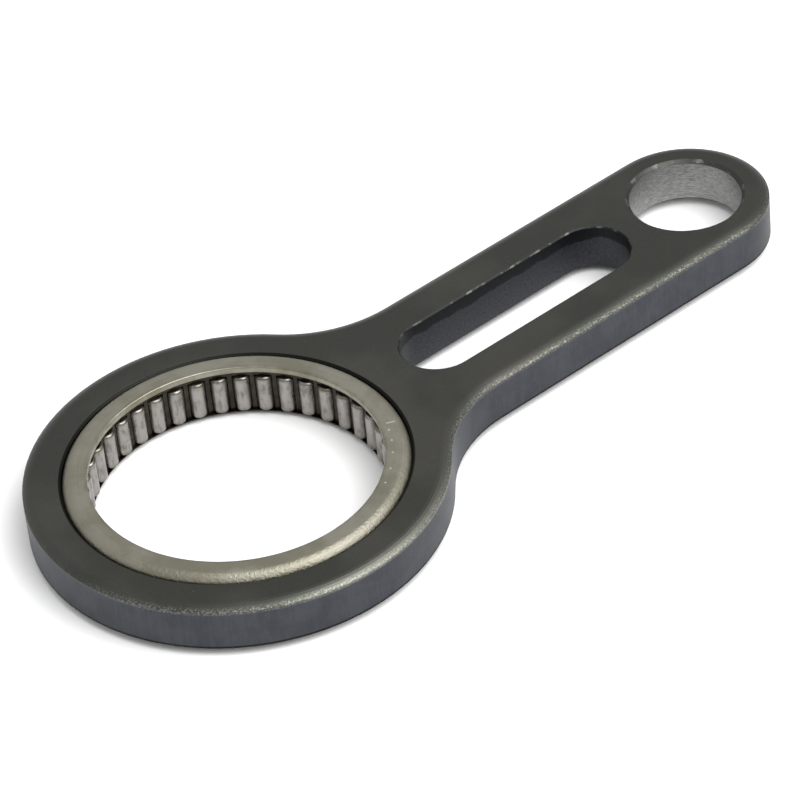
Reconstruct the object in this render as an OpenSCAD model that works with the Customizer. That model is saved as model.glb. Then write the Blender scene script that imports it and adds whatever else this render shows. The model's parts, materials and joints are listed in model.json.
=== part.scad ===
// Flat connecting rod with a caged needle bearing pressed into its big end.
// +Z is the bearing's axis, with the origin at mid-thickness, and +X points to the small eye.

/* [Rod] */
// Distance between the bearing's axis and the pin bore's axis
centre_distance = 82; // [70:0.5:110]
// Thickness of the flat rod
rod_thickness = 7; // [5:0.1:9]
// Wall of the ring around the bearing
ring_wall = 5.2; // [3.5:0.1:8]
// Width of the shank, and of the eye at its end
shank_width = 23.8; // [20:0.2:30]
// Radius of the fillets where the shank runs into the ring
neck_fillet = 18.7; // [8:0.1:25]
// Width of the rolled border along the top of the outline
roll_width = 1.5; // [0.5:0.05:2]
// Depth of the rolled border at the outline
roll_depth = 0.65; // [0.1:0.05:0.8]
// Angle that the rolled border bends through
roll_bend = 32; // [10:1:36]
// Edge break along the bottom of the outline
bottom_break = 0.3; // [0.1:0.05:0.6]

/* [Pin bore] */
// Diameter of the pin bore
pin_bore_d = 16; // [10:0.1:17]
// Chamfer at both ends of the pin bore
pin_chamfer = 0.5; // [0.1:0.05:0.6]

/* [Slot] */
// Width of the slot
slot_width = 10.8; // [6:0.1:13]
// Wall between the slot and the bearing's seat
slot_seat_wall = 6.7; // [4:0.1:12]
// Wall between the slot and the pin bore
slot_pin_wall = 4.4; // [3:0.1:10]
// Edge break along the slot
slot_break = 0.2; // [0.1:0.05:0.5]

/* [Bearing cup] */
// Outer diameter of the cup
cup_od = 47; // [38:0.5:58]
// Length of the cup
cup_length = 8.6; // [6.5:0.1:12]
// How far the cup stands above the rod's top face
cup_rise = 0.6; // [0:0.05:1.5]
// Wall of the cup behind the needles
cup_wall = 1.25; // [0.8:0.05:1.5]
// Thickness of the top lip
top_lip_thickness = 1; // [0.5:0.05:1.2]
// Thickness of the bottom lip
bottom_lip_thickness = 0.65; // [0.5:0.05:1.2]
// Rounding of the lips' inner edges
lip_edge = 0.2; // [0.1:0.05:0.24]
// Distance from the shaft's surface to the top lip
top_lip_setback = 0.15; // [0.15:0.05:0.5]
// Distance from the shaft's surface to the bottom lip
bottom_lip_setback = 1.6; // [0.15:0.05:1.8]
// Outside corner radius
cup_corner = 1.8; // [0.4:0.05:1.8]
// Chamfer at both ends of the seat in the rod
seat_chamfer = 0.35; // [0.1:0.05:0.5]

/* [Needles and cage] */
// Number of needles, whose diameter is what the bars leave
needle_count = 42; // [24:1:50]
// Radius of a needle's rounded ends
needle_end_r = 0.45; // [0.2:0.05:0.8]
// Angle of the first needle from the shank's middle
first_needle = 7.1; // [0:0.1:15]
// Width of the cage's bars where they are thinnest
bar_width = 0.51; // [0.4:0.01:0.8]
// Thickness of the cage's shell, so the depth of its bars
shell_thickness = 0.8; // [0.6:0.05:1.2]
// Thickness of the cage's top rim
top_rim_thickness = 0.75; // [0.1:0.05:1]
// Thickness of the cage's bottom rim
bottom_rim_thickness = 0.15; // [0.1:0.05:1]
// How far a pocket stops short of the rims
pocket_stop = 0.03; // [0.02:0.01:0.1]
// Distance from the shaft's surface to the top rim
top_rim_setback = 0.75; // [0.05:0.05:0.8]
// Distance from the shaft's surface to the bottom rim
bottom_rim_setback = 0.4; // [0.05:0.05:0.8]

/* [Clearances] */
// Radial gap between the needles and the cup
needle_play = 0.02; // [0.01:0.01:0.05]
// Gap around a needle in its pocket
pocket_gap = 0.08; // [0.04:0.01:0.12]
// Gap between a needle's end and the end of its pocket
end_gap = 0.05; // [0.03:0.01:0.1]
// Gap between a rim and a lip
rim_gap = 0.05; // [0.03:0.01:0.1]
// Radial gap between the rims and the cup
rim_play = 0.2; // [0.1:0.05:0.3]

/* [Hidden] */
$fn = 96;
roll_steps = 4;                              // flats across the rolled corner
past = 1;                                    // how far a cutting shape runs past what it cuts

// Bearing: the needles fill the circle inside the cup, less the bars and the gaps beside them.
cup_r = cup_od/2;
cup_top = rod_thickness/2 + cup_rise;
cup_bottom = cup_top - cup_length;
top_lip_face = cup_top - top_lip_thickness;
bottom_lip_face = cup_bottom + bottom_lip_thickness;
raceway_r = cup_r - cup_wall;
needle_step = 360/needle_count;
half_step_sine = sin(needle_step/2);
needle_outer_r = raceway_r - needle_play;
needle_d = (2*needle_outer_r*half_step_sine - 2*pocket_gap - bar_width)/(1 + half_step_sine);
needle_r = needle_d/2;
pitch_r = needle_outer_r - needle_r;
shaft_r = pitch_r - needle_r;                // the circle that the needles leave for the shaft
top_lip_r = shaft_r + top_lip_setback;
bottom_lip_r = shaft_r + bottom_lip_setback;

cage_top = top_lip_face - rim_gap;
cage_bottom = bottom_lip_face + rim_gap;
pocket_top = cage_top - top_rim_thickness - pocket_stop;
pocket_bottom = cage_bottom + bottom_rim_thickness + pocket_stop;
pocket_length = pocket_top - pocket_bottom;
pocket_middle = (pocket_top + pocket_bottom)/2;
needle_half = pocket_length/2 - end_gap;
pocket_r = needle_r + pocket_gap;
shell_inner_r = pitch_r - shell_thickness/2;
top_rim_r = shaft_r + top_rim_setback;
bottom_rim_r = shaft_r + bottom_rim_setback;
rim_outer_r = raceway_r - rim_play;

// Rod: each fillet touches the ring and the shank's side.
rod_half = rod_thickness/2;
ring_r = cup_r + ring_wall;
eye_r = shank_width/2;
roll_start = atan2(roll_depth, roll_width) - roll_bend/2;    // tilt where the border leaves the face
roll_arc_r = norm([roll_width, roll_depth])/(2*sin(roll_bend/2));
fillet_y = eye_r + neck_fillet;
fillet_x = sqrt(pow(ring_r + neck_fillet, 2) - pow(fillet_y, 2));
pin_r = pin_bore_d/2;
slot_r = slot_width/2;
slot_start = cup_r + slot_seat_wall + slot_r;
slot_end = centre_distance - pin_r - slot_pin_wall - slot_r;

function needle_name(i) = str("needle_", i < 10 ? "0" : "", i);

// ---- rod ----

module rod_body() {
    color([0.24, 0.25, 0.235])
    difference() {
        blank();
        flared_bore(cup_r, seat_chamfer);
        translate([centre_distance, 0, 0]) flared_bore(pin_r, pin_chamfer);
        slot();
    }
}

// Ring, eye, shank and necks, each with its own border, so that they join without a seam
module blank() {
    rotate_extrude() half_section(ring_r);
    translate([centre_distance, 0, 0]) rotate_extrude() half_section(eye_r);
    rotate([90, 0, 90]) linear_extrude(centre_distance) {
        half_section(eye_r);
        mirror([1, 0]) half_section(eye_r);
    }
    difference() {
        translate([0, 0, -rod_half]) linear_extrude(rod_thickness)
            polygon([[0, 0], [fillet_x, fillet_y], [fillet_x, -fillet_y]]);
        for (side = [-1, 1]) translate([fillet_x, side*fillet_y, 0]) rotate_extrude() fillet_spool();
    }
}

// Points of the border's rolled top corner, for an outline at r with its inside at -1 or +1
function rolled_corner(r, inside) = [for (i = [0:roll_steps])
    let (tilt = roll_start + roll_bend*(1 - i/roll_steps))
    [r + inside*(roll_width - roll_arc_r*(sin(tilt) - sin(roll_start))),
     rod_half - roll_arc_r*(cos(roll_start) - cos(tilt))]];

// Half of the rod's section, from the middle out to the outline at r
module half_section(r) {
    polygon(concat([[0, -rod_half], [r - bottom_break, -rod_half], [r, -rod_half + bottom_break]],
                   rolled_corner(r, -1), [[0, rod_half]]));
}

// What a fillet takes from a neck, wider at both faces by the borders
module fillet_spool() {
    polygon(concat([[0, -rod_half - past], [neck_fillet + bottom_break + past, -rod_half - past],
                    [neck_fillet, -rod_half + bottom_break]], rolled_corner(neck_fillet, 1),
                   [[neck_fillet + roll_width, rod_half + past], [0, rod_half + past]]));
}

// A round hole through the rod with a chamfer at each face
module flared_bore(r, chamfer) {
    cylinder(r = r, h = rod_thickness + 2*past, center = true);
    for (side = [0, 1]) mirror([0, 0, side]) translate([0, 0, rod_half - chamfer])
        cylinder(r1 = r, r2 = r + chamfer + past, h = chamfer + past);
}

module slot() {
    for (x = [slot_start, slot_end]) translate([x, 0, 0]) flared_bore(slot_r, slot_break);
    wide = slot_r + slot_break + past;
    high = rod_half + past;
    translate([slot_start, 0, 0]) rotate([90, 0, 90]) linear_extrude(slot_end - slot_start)
        polygon([[-wide, high], [-slot_r, rod_half - slot_break], [-slot_r, -rod_half + slot_break],
                 [-wide, -high], [wide, -high], [slot_r, -rod_half + slot_break],
                 [slot_r, rod_half - slot_break], [wide, high]]);
}

// ---- bearing ----

module bearing_cup() {
    color([0.55, 0.54, 0.48])
    rotate_extrude() {
        difference() {
            cup_outside();
            translate([0, bottom_lip_face]) square([raceway_r, top_lip_face - bottom_lip_face]);
            square([top_lip_r + lip_edge, cup_top + past]);
            translate([0, cup_bottom - past]) square([bottom_lip_r + lip_edge, past - cup_bottom]);
        }
        translate([top_lip_r, top_lip_face]) lip_nose(top_lip_thickness);
        translate([bottom_lip_r, cup_bottom]) lip_nose(bottom_lip_thickness);
    }
}

module cup_outside() {
    translate([0, cup_bottom]) square([cup_r - cup_corner, cup_length]);
    translate([0, cup_bottom + cup_corner]) square([cup_r, cup_length - 2*cup_corner]);
    for (y = [cup_bottom + cup_corner, cup_top - cup_corner])
        translate([cup_r - cup_corner, y]) circle(cup_corner);
}

// A lip's rounded inner edge, drawn from its lower inner corner
module lip_nose(thickness) {
    translate([0, lip_edge]) square([lip_edge, thickness - 2*lip_edge]);
    for (y = [lip_edge, thickness - lip_edge]) translate([lip_edge, y]) circle(lip_edge);
}

module needle_cage() {
    color([0.42, 0.40, 0.32])
    difference() {
        rotate_extrude() cage_profile();
        for (i = [1:needle_count]) at_needle(i) cylinder(r = pocket_r, h = pocket_length, center = true);
    }
}

module cage_profile() {
    translate([shell_inner_r, cage_bottom]) square([shell_thickness, cage_top - cage_bottom]);
    translate([top_rim_r, cage_top - top_rim_thickness]) square([rim_outer_r - top_rim_r, top_rim_thickness]);
    translate([bottom_rim_r, cage_bottom]) square([rim_outer_r - bottom_rim_r, bottom_rim_thickness]);
}

module at_needle(i) {
    rotate([0, 0, first_needle + (i - 1)*needle_step]) translate([pitch_r, 0, pocket_middle])
        children();
}

module needle(i) {
    color([0.78, 0.77, 0.74])
    at_needle(i) rotate_extrude() {
        translate([0, -needle_half]) square([needle_r - needle_end_r, 2*needle_half]);
        translate([0, -needle_half + needle_end_r]) square([needle_r, 2*(needle_half - needle_end_r)]);
        for (side = [0, 1]) mirror([0, side]) intersection() {
            translate([needle_r - needle_end_r, needle_half - needle_end_r]) circle(needle_end_r);
            square([needle_r, needle_half]);
        }
    }
}

rod_body();
bearing_cup();
needle_cage();
for (i = [1:needle_count]) needle(i);
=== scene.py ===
import bpy
import json
import math
from mathutils import Matrix, Vector


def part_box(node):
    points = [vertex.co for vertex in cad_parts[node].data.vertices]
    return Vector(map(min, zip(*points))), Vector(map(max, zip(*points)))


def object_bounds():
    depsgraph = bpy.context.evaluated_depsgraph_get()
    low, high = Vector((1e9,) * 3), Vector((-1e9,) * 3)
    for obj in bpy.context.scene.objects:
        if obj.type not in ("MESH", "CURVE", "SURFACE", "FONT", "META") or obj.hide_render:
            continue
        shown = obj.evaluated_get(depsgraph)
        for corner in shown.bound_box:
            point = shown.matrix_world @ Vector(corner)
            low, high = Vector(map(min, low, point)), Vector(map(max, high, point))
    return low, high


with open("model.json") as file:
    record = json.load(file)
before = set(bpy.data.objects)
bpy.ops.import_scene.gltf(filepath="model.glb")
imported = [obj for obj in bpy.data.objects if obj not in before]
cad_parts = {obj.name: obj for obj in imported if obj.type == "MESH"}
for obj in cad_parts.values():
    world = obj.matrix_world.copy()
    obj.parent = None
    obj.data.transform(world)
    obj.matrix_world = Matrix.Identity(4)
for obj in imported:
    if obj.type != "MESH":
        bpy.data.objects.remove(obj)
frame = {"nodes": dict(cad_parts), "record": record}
bpy.context.view_layer.update()
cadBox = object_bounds()
mm = 0.001
print("frame loaded:", len(frame["nodes"]), "nodes")


# shader maths, written as expressions

class Wire:                                     # a value, vector or colour on its way through a material
    def __init__(self, tree, socket=None):
        self.tree = tree
        self.socket = socket

    def node(self, kind, settings, inputs, output=0):
        made = self.tree.nodes.new(kind)
        for name, value in settings.items():
            setattr(made, name, value)
        for name, value in inputs.items():
            if isinstance(value, Wire):
                self.tree.links.new(value.socket, made.inputs[name])
            else:
                made.inputs[name].default_value = value
        return Wire(self.tree, made.outputs[output] if made.outputs else None)

    def maths(self, operation, *values):
        return self.node("ShaderNodeMath", {"operation": operation}, dict(enumerate(values)))

    def __add__(self, other):
        return self.maths("ADD", self, other)

    def __radd__(self, other):
        return self.maths("ADD", other, self)

    def __sub__(self, other):
        return self.maths("SUBTRACT", self, other)

    def __rsub__(self, other):
        return self.maths("SUBTRACT", other, self)

    def __mul__(self, other):
        return self.maths("MULTIPLY", self, other)

    def __rmul__(self, other):
        return self.maths("MULTIPLY", other, self)

    def __abs__(self):
        return self.maths("ABSOLUTE", self)

    def root(self):
        return self.maths("SQRT", self)

    def most(self, other):                      # the larger of the two
        return self.maths("MAXIMUM", self, other)

    def least(self, other):                     # the smaller of the two
        return self.maths("MINIMUM", self, other)

    def rise(self, low, high):                  # 0 below low, 1 above high, and smooth between them
        return self.node("ShaderNodeMapRange", {"interpolation_type": "SMOOTHSTEP"},
                         {"Value": self, "From Min": low, "From Max": high})

    def within(self, low, high, soft):          # 1 between low and high
        return self.rise(low - soft, low + soft) * (1 - self.rise(high - soft, high + soft))

    def blend(self, first, second):             # first where this mask is 0, second where it is 1
        return self.node("ShaderNodeMix", {"data_type": "RGBA"}, {0: self, 6: first, 7: second}, 2)

    def tinted(self, tone, amount):             # this colour, multiplied by a tone
        return self.node("ShaderNodeMix", {"data_type": "RGBA", "blend_type": "MULTIPLY"},
                         {0: amount, 6: self, 7: tone}, 2)


class Finish:                                   # one material, with its places in millimetres
    def __init__(self, name):
        self.material = bpy.data.materials.new(name)
        self.material.use_nodes = True
        self.material.node_tree.nodes.clear()
        self.bench = Wire(self.material.node_tree)
        metres = self.bench.node("ShaderNodeTexCoord", {}, {}, "Object")
        self.place = self.bench.node("ShaderNodeVectorMath", {"operation": "SCALE"},
                                     {0: metres, "Scale": 1 / mm})
        self.x, self.y, self.z = self.parts(self.place)
        self.up = self.parts(self.bench.node("ShaderNodeTexCoord", {}, {}, "Normal"))[2]

    def parts(self, vector):
        return [self.bench.node("ShaderNodeSeparateXYZ", {}, {0: vector}, axis) for axis in "XYZ"]

    def noise(self, scale, detail, rough, stretch=(1, 1, 1)):   # a stretch makes grain that runs one way
        where = self.bench.node("ShaderNodeVectorMath", {"operation": "MULTIPLY"},
                                {0: self.place, 1: stretch})
        return self.bench.node("ShaderNodeTexNoise", {},
                               {"Vector": where, "Scale": scale, "Detail": detail, "Roughness": rough})

    def reach(self, x=0.0, y=0.0):              # distance from an axis that stands at x, y
        across, along = self.x - x, self.y - y
        return (across * across + along * along).root()

    def dots(self, spots, size, core):          # small round marks, at full strength inside their core
        mask = None
        for x, y in spots:
            spot = 1 - self.reach(x, y).rise(size * core, size)
            mask = mask.most(spot) if mask else spot
        return mask

    def done(self, color, roughness, height, depth, metallic=1.0, edge=0.0, coat=0.0):
        inputs = {"Base Color": color, "Roughness": roughness, "Metallic": metallic}
        bump = {"Height": height, "Distance": depth * mm, "Strength": 1.0}
        if edge:                                # rounds the shading over sharp edges
            bump["Normal"] = self.bench.node("ShaderNodeBevel", {"samples": 6}, {"Radius": edge * mm})
        inputs["Normal"] = self.bench.node("ShaderNodeBump", {}, bump)
        if coat:
            inputs["Coat Weight"] = coat
            inputs["Coat Roughness"] = 0.2
        shader = self.bench.node("ShaderNodeBsdfPrincipled", {}, inputs)
        self.bench.node("ShaderNodeOutputMaterial", {}, {"Surface": shader})
        return self.material


def rgb(red, green, blue):
    return (red, green, blue, 1.0)


def grey(value):
    return rgb(value, value, value)


def dress(node, material):
    for place in frame["nodes"][node].material_slots:
        place.material = material


# sizes that the finishes follow, read from the frame, in millimetres

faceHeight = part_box("rod_body")[1].z / mm
pinMount = next(m for m in frame["record"]["mounts"] if m["name"] == "pin_bore")
pinAxis = pinMount["pos_m"][0] / mm
pinRadius = pinMount["dims"]["r_mm"]
slotSpace = next(o for o in frame["record"]["physics"]["openings"] if o["name"] == "shank_slot")["box_m"]
slotStart, slotEnd = slotSpace[0][0] / mm, slotSpace[1][0] / mm
slotHalf = slotSpace[1][1] / mm
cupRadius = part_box("bearing_cup")[1].x / mm
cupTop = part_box("bearing_cup")[1].z / mm
cupPoints = frame["nodes"]["bearing_cup"].data.vertices
lipRadius = min(point.co.xy.length for point in cupPoints) / mm
needleLow, needleHigh = (corner.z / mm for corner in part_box("needle_01"))

# In the dictionaries below, lengths are in millimetres. A noise gives its scale per millimetre, detail,
# roughness and stretch. A band gives the two values between which its mask rises from 0 to 1.


# rod: blackened steel, worn along its rolled border, with a painted highlight where the lamp lights the
# border and painted shade in the seat's groove and along the bottom edge

rodFinish = {
    "face": rgb(0.052, 0.054, 0.047),
    "faceDrift": rgb(0.068, 0.067, 0.060),
    "side": rgb(0.061, 0.065, 0.074),
    "sideDark": rgb(0.048, 0.051, 0.059),
    # light tone of worn specks and chips, also used for the painted highlight on the border
    "wearAndHighlight": rgb(0.25, 0.25, 0.215),
    "grooveShade": rgb(0.014, 0.014, 0.012),         # painted shade round the bearing's seat and along the bottom edge
    "bore": rgb(0.34, 0.34, 0.335),
    "boreDark": rgb(0.17, 0.17, 0.165),
    "slotShear": rgb(0.021, 0.022, 0.024),      # dark band at the top of the slot's wall
    "slotTear": rgb(0.066, 0.067, 0.075),
    "slotPit": rgb(0.046, 0.047, 0.053),

    "wallBand": (0.35, 0.80),                   # how level a face may lie and still count as a wall
    "slotWallBand": (0.90, 0.99),               # the same for the slot's wall with its broken edge
    "edgeBand": (0.90, 0.998),                  # the same for any broken or rolled edge
    "topBand": (-1.2, -0.8),                    # over the top face
    "footBand": (0.5, 0.7),                     # over the bottom face
    "seatBand": (0.6, 0.8),                     # outside the cup
    "boreBand": (0.02, 0.10),                   # outside the pin bore
    "flareWidth": 0.55,
    "flareSoft": 0.04,
    "slotSideBand": (0.6, 0.8),                 # outside the room kept free in the slot
    "slotMargin": 5,                            # the slot's round ends reach past that room
    "slotSoft": 0.2,

    "grain": (5.0, 4, 0.6),
    "grainDark": grey(0.68),
    "grainLight": grey(1.32),
    "grainTint": 0.8,
    "drift": (0.07, 2, 0.55),
    "driftBand": (0.40, 0.66),
    "specks": (2.6, 2, 0.5),
    "speckBand": (0.735, 0.80),
    "speckAmount": 0.5,
    "stria": (2.2, 3, 0.6, (1, 1, 0.10)),       # marks across the side walls
    "striaShare": 0.4,
    "patches": (0.30, 3, 0.6),
    "sideBand": (0.36, 0.64),

    "rub": (3.2, 4, 0.7, (1, 1, 2)),
    "rubBand": (0.43, 0.66),
    "litSideBand": (2, 10),                       # towards -Y, where the border is worn most and a painted highlight lies where the lamp falls
    "dropBand": (0.18, 0.56),                   # below the top face
    "litRingSpan": (-10, 19, 6),                   # stretch of the ring's border that gets a painted highlight all over
    "wornBack": 0.15,
    "wearAndHighlightFront": 0.55,
    "ringHighlight": 0.28,

    "shearDepth": 2.0,
    "shearWaver": 1.6,
    "waver": (0.35, 3, 0.6),
    "shearBand": (-0.15, 0.15),
    "mottle": (2.4, 4, 0.65, (1, 1, 1.4)),
    "tearBand": (0.35, 0.60),
    "chipsAndHighlight": (0.55, 2, 0.55),                   # bright chips along the slot and the bore, partly chipped wear, partly painted highlight
    "chipBand": (0.50, 0.68),
    "chipAmount": 0.45,
    "flareAmount": 0.5,
    "turning": (1.6, 4, 0.7, (0.8, 0.8, 6)),
    "turningBand": (0.38, 0.62),
    "scratches": (2.0, 3, 0.5, (0.25, 3, 1)),
    "scratchBand": (0.62, 0.72),

    "roughness": 0.44,
    "grainRough": 0.16,
    "wallRough": 0.06,
    "brightSmooth": 0.10,
    "wornSmooth": 0.08,
    "grainHeight": 0.30,
    "striaHeight": 0.5,
    "rubHeight": 0.9,
    "scratchHeight": 0.12,
    "bumpDepth": 0.035,
    "edgeRound": 0.22,
}


def blackenedSteel():
    look = rodFinish
    steel = Finish("blackened_steel")
    level = abs(steel.up)
    depth = faceHeight - steel.z
    wall = 1 - level.rise(*look["wallBand"])
    tilt = 1 - level.rise(*look["edgeBand"])
    onTop = (steel.z - faceHeight).rise(*look["topBand"])
    seat = 1 - (steel.reach() - cupRadius).rise(*look["seatBand"])
    fromPin = steel.reach(pinAxis) - pinRadius
    bore = 1 - fromPin.rise(*look["boreBand"])
    flare = tilt * fromPin.within(0, look["flareWidth"], look["flareSoft"])
    low, high = slotStart - look["slotMargin"], slotEnd + look["slotMargin"]
    slot = 1 - (abs(steel.y) - slotHalf).rise(*look["slotSideBand"])
    slot = slot * steel.x.within(low, high, look["slotSoft"])
    slot = slot * (1 - level.rise(*look["slotWallBand"]))
    outer = 1 - (slot + bore + seat).least(1.0)

    grain = steel.noise(*look["grain"])
    drift = steel.noise(*look["drift"])
    specks = steel.noise(*look["specks"]).rise(*look["speckBand"])
    color = drift.rise(*look["driftBand"]).blend(look["face"], look["faceDrift"])
    color = color.tinted(grain.blend(look["grainDark"], look["grainLight"]), look["grainTint"])
    color = (specks * look["speckAmount"]).blend(color, look["wearAndHighlight"])

    stria = steel.noise(*look["stria"])
    patches = steel.noise(*look["patches"])
    cloud = stria * look["striaShare"] + patches * (1 - look["striaShare"])
    sideColor = cloud.rise(*look["sideBand"]).blend(look["sideDark"], look["side"])
    color = (wall * outer).blend(color, sideColor)
    # painted shade in the groove round the bearing's seat
    color = (seat * tilt).blend(color, look["grooveShade"])

    rub = steel.noise(*look["rub"])
    # the border is painted lighter towards -Y where the lamp lights it: part real wear, part painted
    # highlight; on the ring's front it is all painted highlight
    litSide = (0 - steel.y).rise(*look["litSideBand"])
    rubAndHighlight = rub.rise(*look["rubBand"]) * depth.rise(*look["dropBand"])
    rubAndHighlight = rubAndHighlight * (look["wornBack"] + look["wearAndHighlightFront"] * litSide)
    litRing = litSide * steel.x.within(*look["litRingSpan"])
    wearAndHighlight = tilt * onTop * outer * (rubAndHighlight + look["ringHighlight"] * litRing)
    color = wearAndHighlight.blend(color, look["wearAndHighlight"])
    # painted shade along the bottom edge
    footShade = tilt * (1 - (steel.z + faceHeight).rise(*look["footBand"]))
    color = footShade.blend(color, look["grooveShade"])

    shearEdge = look["shearDepth"] + look["shearWaver"] * (steel.noise(*look["waver"]) - 0.5)
    sheared = (depth - shearEdge).rise(*look["shearBand"])
    tear = steel.noise(*look["mottle"]).rise(*look["tearBand"]).blend(look["slotPit"], look["slotTear"])
    color = (slot * wall).blend(color, sheared.blend(look["slotShear"], tear))
    # bright flecks on the slot's top edge and the bore's flare: part chipped wear, part painted highlight
    chipsAndHighlight = steel.noise(*look["chipsAndHighlight"]).rise(*look["chipBand"])
    chippedAndHighlit = (chipsAndHighlight * look["chipAmount"]).blend(look["slotShear"], look["wearAndHighlight"])
    color = (slot * tilt * (1 - wall) * onTop).blend(color, chippedAndHighlit)

    turning = steel.noise(*look["turning"])
    boreColor = turning.rise(*look["turningBand"]).blend(look["boreDark"], look["bore"])
    bright = (bore * wall).most(flare * chipsAndHighlight * look["flareAmount"])
    color = bright.blend(color, boreColor)

    scratches = steel.noise(*look["scratches"]).rise(*look["scratchBand"])
    rough = look["roughness"] + (grain - 0.5) * look["grainRough"] + wall * look["wallRough"]
    rough = rough - bright * look["brightSmooth"] - wearAndHighlight * look["wornSmooth"]
    height = grain * look["grainHeight"] + stria * wall * look["striaHeight"]
    height = height + rub * tilt * outer * look["rubHeight"]
    height = height + scratches * look["scratchHeight"] + turning * bright
    return steel.done(color, rough, height, look["bumpDepth"], edge=look["edgeRound"])


# bearing cup: drawn steel, satin, with a row of plain punched dots

cupFinish = {
    "steel": rgb(0.280, 0.268, 0.222),
    "shade": rgb(0.215, 0.204, 0.160),
    # oil tone, also used as painted shade under the lip
    "oil": rgb(0.150, 0.132, 0.080),
    "mark": rgb(0.60, 0.59, 0.55),

    "grain": (6.0, 4, 0.65),
    "grainDark": grey(0.86),
    "grainLight": grey(1.12),
    "grainTint": 0.8,
    "drift": (0.16, 3, 0.6),
    "ringScale": 3.0,                           # turned rings, per millimetre
    "ringDetail": 3.0,
    "ringShare": 0.2,
    "shadeBand": (0.38, 0.62),
    "film": (0.45, 3, 0.6),
    "filmBand": (0.40, 0.66),
    "filmAmount": 0.55,
    "lipBand": (0.0, 0.7),                      # outside the lip's edge
    "underLipBand": (-1.05, -0.85),               # over the lip's top; below it the cup takes the oil tone, partly grease, partly painted shade
    "cornerBand": (-1.9, -1.2),                 # outside the cup's outer wall
    "cornerShade": 0.25,
    "pits": (2.4, 3, 0.65),

    "dotAngles": [-28, -34, -41, -50, -58],     # degrees round the lip from the shank's middle
    "dotRadius": 20.9,
    "dotSize": 0.22,
    "dotCore": 0.4,
    "tickAngle": -24,
    "tickRadius": 21.5,
    "tickHalf": (0.6, 0.1),                     # along and across
    "tickSoft": (0.1, 0.08),
    "markBand": (-0.3, -0.2),                   # over the lip's top
    "markAmount": 0.8,

    "roughness": 0.38,
    "grainRough": 0.20,
    "driftRough": 0.10,
    "cornerRough": 0.06,
    "grainHeight": 1.2,
    "ringHeight": 0.12,
    "markHeight": 1.5,
    "pitHeight": 0.6,
    "cornerPitHeight": 7,
    "bumpDepth": 0.014,
    "edgeRound": 0.12,
}


def drawnSteel():
    look = cupFinish
    steel = Finish("drawn_steel")
    out = steel.reach()
    overTop = steel.z - cupTop
    grain = steel.noise(*look["grain"])
    drift = steel.noise(*look["drift"])
    rings = steel.bench.node("ShaderNodeTexNoise", {"noise_dimensions": "1D"},
                             {"W": out, "Scale": look["ringScale"], "Detail": look["ringDetail"]})
    cloud = drift * (1 - look["ringShare"]) + rings * look["ringShare"]
    color = cloud.rise(*look["shadeBand"]).blend(look["shade"], look["steel"])
    color = color.tinted(grain.blend(look["grainDark"], look["grainLight"]), look["grainTint"])
    film = steel.noise(*look["film"]).rise(*look["filmBand"])
    oilAndShade = film * (1 - (out - lipRadius).rise(*look["lipBand"])) * look["filmAmount"]
    # below the lip's top the cup is darkened to the oil tone all over: part grease, part painted shade under
    # the lip
    oilAndShade = oilAndShade.most(1 - overTop.rise(*look["underLipBand"]))
    color = oilAndShade.blend(color, look["oil"])
    # painted shade: the rounded outer corner is darkened towards the groove round the rod's seat
    corner = (out - cupRadius).rise(*look["cornerBand"])
    color = (corner * look["cornerShade"]).blend(color, look["shade"])

    turns = [math.radians(angle) for angle in look["dotAngles"]]
    spots = [(look["dotRadius"] * math.cos(turn), look["dotRadius"] * math.sin(turn)) for turn in turns]
    dots = steel.dots(spots, look["dotSize"], look["dotCore"])
    turn = math.radians(look["tickAngle"])
    along = steel.x * math.cos(turn) + steel.y * math.sin(turn) - look["tickRadius"]
    across = steel.y * math.cos(turn) - steel.x * math.sin(turn)
    (halfLength, halfWidth), (softLength, softWidth) = look["tickHalf"], look["tickSoft"]
    tick = along.within(-halfLength, halfLength, softLength) * across.within(-halfWidth, halfWidth, softWidth)
    marks = dots.most(tick) * overTop.rise(*look["markBand"])
    color = (marks * look["markAmount"]).blend(color, look["mark"])

    rough = look["roughness"] + (grain - 0.5) * look["grainRough"] + (drift - 0.5) * look["driftRough"]
    rough = rough + corner * look["cornerRough"]
    pits = steel.noise(*look["pits"]) * (look["pitHeight"] + look["cornerPitHeight"] * corner)
    height = grain * look["grainHeight"] + rings * look["ringHeight"] - marks * look["markHeight"] + pits
    return steel.done(color, rough, height, look["bumpDepth"], edge=look["edgeRound"])


# cage: pressed steel, dull under a film of oil

cageFinish = {
    "steel": rgb(0.034, 0.028, 0.017),
    "shade": rgb(0.012, 0.010, 0.007),
    "film": (0.8, 4, 0.6),
    "filmBand": (0.36, 0.66),
    "filmRough": 0.3,
    "roughness": 0.42,
    "grain": (6, 2, 0.55),
    "grainHeight": 0.3,
    "bumpDepth": 0.03,
    "oilCoat": 0.25,
}


def oilySteel():
    look = cageFinish
    steel = Finish("oily_steel")
    film = steel.noise(*look["film"])
    color = film.rise(*look["filmBand"]).blend(look["shade"], look["steel"])
    rough = look["roughness"] + (film - 0.5) * look["filmRough"]
    height = film + steel.noise(*look["grain"]) * look["grainHeight"]
    return steel.done(color, rough, height, look["bumpDepth"], coat=look["oilCoat"])


# needles: ground steel, with oil gathered at their ends

needleFinish = {
    "steel": rgb(0.290, 0.275, 0.260),
    "shade": rgb(0.150, 0.140, 0.126),
    "oil": rgb(0.105, 0.088, 0.052),
    "streak": (1.5, 4, 0.65, (1.2, 1.2, 0.35)),
    "film": (0.55, 3, 0.6),
    "streakShare": 0.6,
    "shadeBand": (0.34, 0.56),
    "endLength": 0.55,
    "endSoft": 0.35,
    "oilBand": (0.40, 0.60),
    "oilAmount": 0.7,
    "roughness": 0.30,
    "streakRough": 0.25,
    "bumpDepth": 0.010,
}


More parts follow.
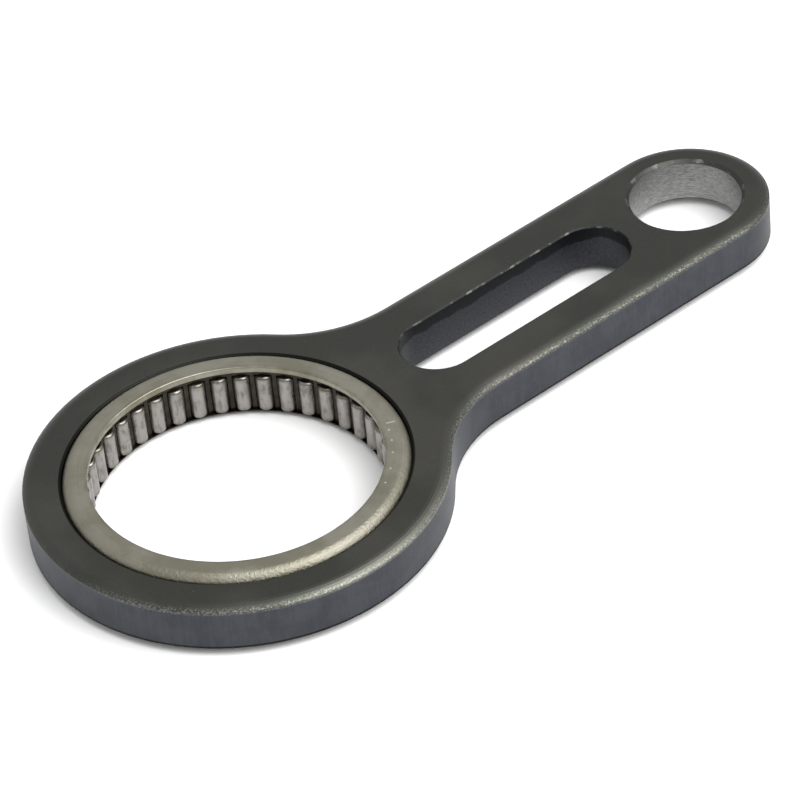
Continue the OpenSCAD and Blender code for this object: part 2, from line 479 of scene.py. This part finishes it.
def groundSteel():
    look = needleFinish
    steel = Finish("ground_steel")
    streak = steel.noise(*look["streak"])
    film = steel.noise(*look["film"])
    ends = 1 - steel.z.within(needleLow + look["endLength"], needleHigh - look["endLength"], look["endSoft"])
    cloud = streak * look["streakShare"] + film * (1 - look["streakShare"])
    color = cloud.rise(*look["shadeBand"]).blend(look["shade"], look["steel"])
    color = (ends * film.rise(*look["oilBand"]) * look["oilAmount"]).blend(color, look["oil"])
    rough = look["roughness"] + (streak - 0.5) * look["streakRough"]
    return steel.done(color, rough, streak, look["bumpDepth"])


dress("rod_body", blackenedSteel())
dress("bearing_cup", drawnSteel())
dress("needle_cage", oilySteel())
needleSteel = groundSteel()
for name in frame["nodes"]:
    if name.startswith("needle_") and name != "needle_cage":
        dress(name, needleSteel)
print("finishes on", len(frame["nodes"]), "nodes")


# studio: pale floor, soft light, camera

studio = {
    "floor": grey(0.93),
    "floorLight": grey(0.95),
    "floorSize": 4.0,                           # metres
    "speckle": (0.4, 3, 0.55),
    "floorRoughness": 0.9,
    "floorBump": 0.01,
    "sky": 0.85,
    "lampBearing": 292,                         # degrees
    "lampHeight": 56,
    "lampDistance": 0.60,
    "lampSize": 0.60,
    "lampWatts": 5.0,
    "lampAim": (0.028, 0.0, 0.0),
}


def towards(bearing, height):                   # unit vector, bearing counted from +X towards +Y
    turn, lift = math.radians(bearing), math.radians(height)
    level = math.cos(lift)
    return Vector((math.cos(turn) * level, math.sin(turn) * level, math.sin(lift)))


def layFloor():
    half, height = studio["floorSize"] / 2, cadBox[0].z
    corners = [(-half, -half, height), (half, -half, height), (half, half, height), (-half, half, height)]
    mesh = bpy.data.meshes.new("floor")
    mesh.from_pydata(corners, [], [(0, 1, 2, 3)])
    floor = bpy.data.objects.new("floor", mesh)
    bpy.context.scene.collection.objects.link(floor)
    paper = Finish("pale_paper")
    speckle = paper.noise(*studio["speckle"])
    color = speckle.blend(studio["floor"], studio["floorLight"])
    finish = paper.done(color, studio["floorRoughness"], speckle, studio["floorBump"], metallic=0.0)
    mesh.materials.append(finish)


def hangLamp():
    lamp = bpy.data.lights.new("key", "AREA")
    lamp.size, lamp.energy = studio["lampSize"], studio["lampWatts"]
    back = towards(studio["lampBearing"], studio["lampHeight"])
    holder = bpy.data.objects.new("key", lamp)
    holder.location = Vector(studio["lampAim"]) + back * studio["lampDistance"]
    holder.rotation_euler = (-back).to_track_quat("-Z", "Y").to_euler()
    bpy.context.scene.collection.objects.link(holder)


def lightSky():
    world = bpy.data.worlds.new("studio")
    world.use_nodes = True
    background = world.node_tree.nodes["Background"]
    background.inputs["Color"].default_value = grey(1.0)
    background.inputs["Strength"].default_value = studio["sky"]
    bpy.context.scene.world = world


layFloor()
lightSky()
hangLamp()
bpy.context.scene.view_settings.view_transform = "Standard"
print("floor, sky and lamp ready")

cameraSpot = {
    "aim": (26.59 * mm, -2.05 * mm, 0.0),
    "bearing": -126.75,                         # degrees
    "height": 39.04,
    "roll": -6.09,
    "distance": 601.2 * mm,
    "lens": 199.2,
    "sensor": 36.0,
    "near": 0.01,
    "far": 20.0,
}


def placeCamera():
    spot = cameraSpot
    roll = math.radians(spot["roll"])
    back = towards(spot["bearing"], spot["height"])
    right = Vector((0, 0, 1)).cross(back).normalized()
    above = back.cross(right)
    rightTurned = right * math.cos(roll) + above * math.sin(roll)
    aboveTurned = above * math.cos(roll) - right * math.sin(roll)
    data = bpy.data.cameras.new("camera")
    data.lens, data.sensor_width = spot["lens"], spot["sensor"]
    data.clip_start, data.clip_end = spot["near"], spot["far"]
    camera = bpy.data.objects.new("camera", data)
    turn = Matrix((rightTurned, aboveTurned, back)).transposed().to_4x4()
    camera.matrix_world = Matrix.Translation(Vector(spot["aim"]) + back * spot["distance"]) @ turn
    bpy.context.scene.collection.objects.link(camera)
    bpy.context.scene.camera = camera


placeCamera()
print("camera ready")
